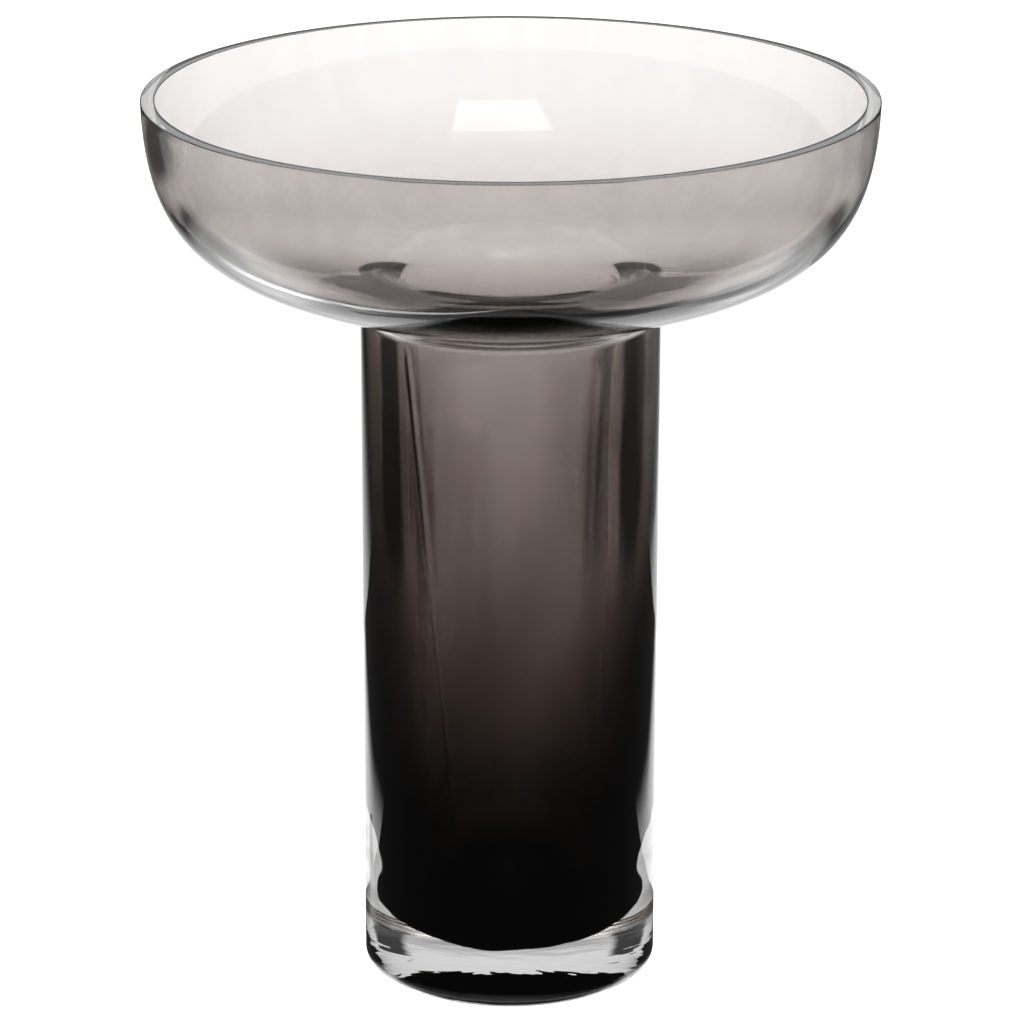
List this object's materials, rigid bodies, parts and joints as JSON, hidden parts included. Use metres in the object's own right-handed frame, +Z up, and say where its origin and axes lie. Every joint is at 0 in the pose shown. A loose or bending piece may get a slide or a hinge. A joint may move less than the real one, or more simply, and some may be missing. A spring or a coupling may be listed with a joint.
{
  "type": "glass vase",
  "caption": "Tall glass vase: a wide shallow bowl that opens into a thick-walled cylindrical stem on a solid clear foot, smoke glass cased in clear.",
  "frame": {"origin": "centre of the level that the foot's ring rests on", "axes": "+Z up along the vase's axis of revolution, towards the rim; X and Y are any two horizontal directions"},
  "size_m": [0.238, 0.238, 0.3],
  "materials": {
    "clear_glass": "clear, fire polished, with a ground and polished rim",
    "smoke_glass": "transparent smoke brown, deeper with thickness"
  },
  "bodies": {
    "root": {"bowl_casing": "clear_glass", "bowl_lining": "smoke_glass", "neck_casing": "clear_glass", "neck_lining": "smoke_glass", "stem_casing": "clear_glass", "stem_lining": "smoke_glass", "foot": "clear_glass"}
  },
  "joints": []
}
